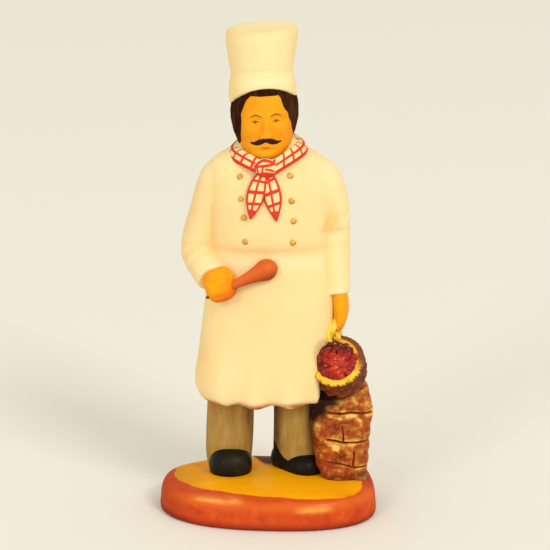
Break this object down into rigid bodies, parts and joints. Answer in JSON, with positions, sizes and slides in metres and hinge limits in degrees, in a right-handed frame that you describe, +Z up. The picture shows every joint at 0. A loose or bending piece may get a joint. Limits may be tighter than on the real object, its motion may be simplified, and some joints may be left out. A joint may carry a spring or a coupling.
{
  "type": "santon figure",
  "caption": "Small painted clay crib figure of a moustached cook in toque, kerchief and long apron, with spoon, basket and low brick pillar, on moulded ground.",
  "frame": {"origin": "middle of the flat underside of the moulded ground", "axes": "+Z up; the cook faces -Y; +X is to the viewer's right, towards the basket and the pillar"},
  "size_m": [0.0354, 0.0238, 0.08],
  "materials": {
    "painted_clay": "matt hand-painted fired clay",
    "cream_paint": "matt cream paint on clay",
    "skin_paint": "matt warm skin paint with brushed shading",
    "hair_paint": "matt dark brown paint",
    "kerchief_paint": "cream paint with brushed red lines",
    "gold_paint": "gold paint with a soft sheen",
    "spoon_paint": "satin wood-coloured paint",
    "trouser_paint": "matt grey-brown paint",
    "shoe_paint": "satin black paint",
    "ground_paint": "ochre ground with a satin orange-red edge",
    "brick_paint": "red-brown paint with dry-brushed gold",
    "basket_paint": "brown wicker paint with a gold rim",
    "filling_paint": "glossy dark red varnish"
  },
  "bodies": {
    "root": {"santon": "painted_clay"}
  },
  "joints": []
}
